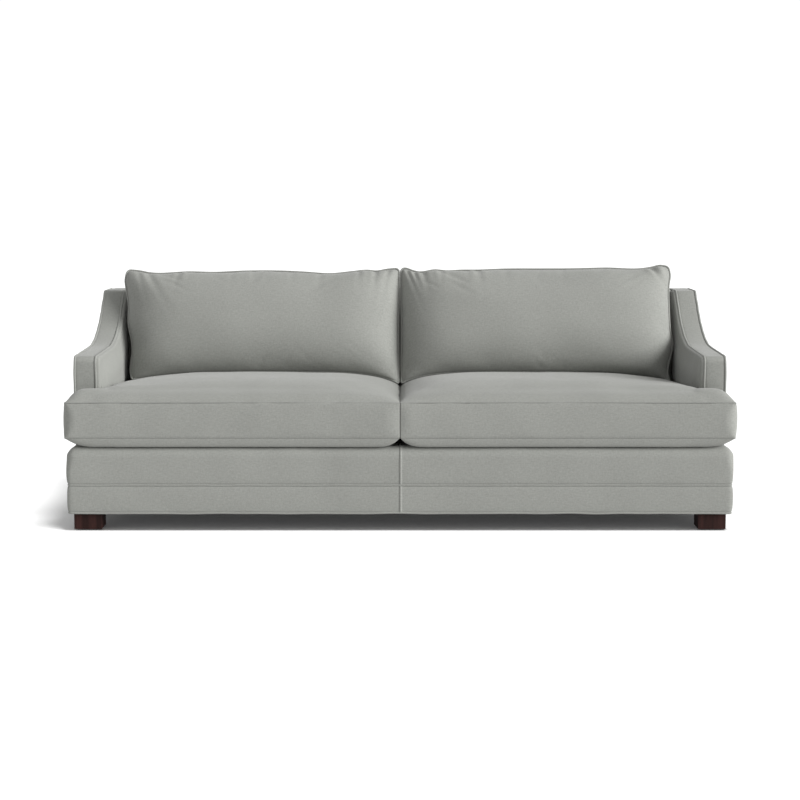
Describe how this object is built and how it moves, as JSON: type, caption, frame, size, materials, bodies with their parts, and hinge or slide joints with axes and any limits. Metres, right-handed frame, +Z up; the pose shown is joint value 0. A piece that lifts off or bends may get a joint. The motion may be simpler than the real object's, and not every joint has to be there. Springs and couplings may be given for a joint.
{
  "type": "slope arm sofa",
  "caption": "Sofa with arms that sweep up to the back, a welted base on block legs, and loose seat and back cushions.",
  "frame": {"origin": "on the floor, under the middle of the bounding box", "axes": "+Z up, -Y towards the sitter's feet (the front), +X to the right as seen from the front"},
  "size_m": [2.2042, 0.9849, 0.8361],
  "materials": {
    "hardwood": "sawn hardwood",
    "plywood": "sanded plywood",
    "leg_wood": "dark espresso stain under a satin lacquer",
    "steel": "bright zinc plate",
    "foam": "cut upholstery foam and fibre",
    "felt": "needled felt",
    "webbing": "woven elastic webbing",
    "dust_cloth": "black non-woven cloth",
    "upholstery": "sage-grey basket weave",
    "welt": "bias-cut piping in the same weave",
    "zip_tape": "zip tape and coil",
    "glide": "nail-on plastic glide"
  },
  "bodies": {
    "frame": {"front_rail": "hardwood", "spring_rail": "hardwood", "rear_rail": "hardwood", "side_rails": "hardwood", "cross_rails": "hardwood", "corner_blocks": "hardwood", "ear_boards": "plywood", "back_ribs": "plywood", "back_top_rail": "hardwood", "arm_panels": "plywood", "arm_cores": "hardwood", "arm_bolts": "steel", "seat_springs": "steel", "spring_clips": "steel", "spring_felt": "felt", "deck_pad": "foam", "deck_cloth": "upholstery", "front_edge_foam": "foam", "front_border": "upholstery", "lower_border": "upholstery", "base_welt": "welt", "hem_welt": "welt", "back_webbing": "webbing", "back_padding": "foam", "inside_back": "upholstery", "outside_back": "upholstery", "back_top_band": "upholstery", "back_welt": "welt", "dust_cover": "dust_cloth", "arm_padding": "foam", "left_arm_band": "upholstery", "right_arm_band": "upholstery", "left_inside_arm": "upholstery", "right_inside_arm": "upholstery", "left_outside_arm": "upholstery", "right_outside_arm": "upholstery", "arm_welts": "welt", "front_left_leg": "leg_wood", "front_right_leg": "leg_wood", "rear_left_leg": "leg_wood", "rear_right_leg": "leg_wood", "leg_bolts": "steel", "leg_glides": "glide"},
    "left_seat_cushion": {"left_seat_cover": "upholstery", "left_seat_foam": "foam", "left_seat_zip": "zip_tape"},
    "right_seat_cushion": {"right_seat_cover": "upholstery", "right_seat_foam": "foam", "right_seat_zip": "zip_tape"},
    "left_back_cushion": {"left_back_cover": "upholstery", "left_back_fill": "foam"},
    "right_back_cushion": {"right_back_cover": "upholstery", "right_back_fill": "foam"},
    "left_zip_slider": {"left_seat_zip_pull": "steel"},
    "right_zip_slider": {"right_seat_zip_pull": "steel"}
  },
  "joints": [
    {"name": "left_seat_cushion_slide", "type": "slide", "parent": "frame", "child": "left_seat_cushion", "axis": [0, -0.9997, 0.0262], "range_m": [0, 0.6]},
    {"name": "right_seat_cushion_slide", "type": "slide", "parent": "frame", "child": "right_seat_cushion", "axis": [0, -0.9997, 0.0262], "range_m": [0, 0.6]},
    {"name": "left_back_cushion_lift", "type": "slide", "parent": "frame", "child": "left_back_cushion", "axis": [0, 0.2079, 0.9781], "range_m": [0, 0.45]},
    {"name": "right_back_cushion_lift", "type": "slide", "parent": "frame", "child": "right_back_cushion", "axis": [0, 0.2079, 0.9781], "range_m": [0, 0.45]},
    {"name": "left_zip_slide", "type": "slide", "parent": "left_seat_cushion", "child": "left_zip_slider", "axis": [-1, 0, 0], "range_m": [0, 0.6]},
    {"name": "right_zip_slide", "type": "slide", "parent": "right_seat_cushion", "child": "right_zip_slider", "axis": [1, 0, 0], "range_m": [0, 0.6]}
  ]
}
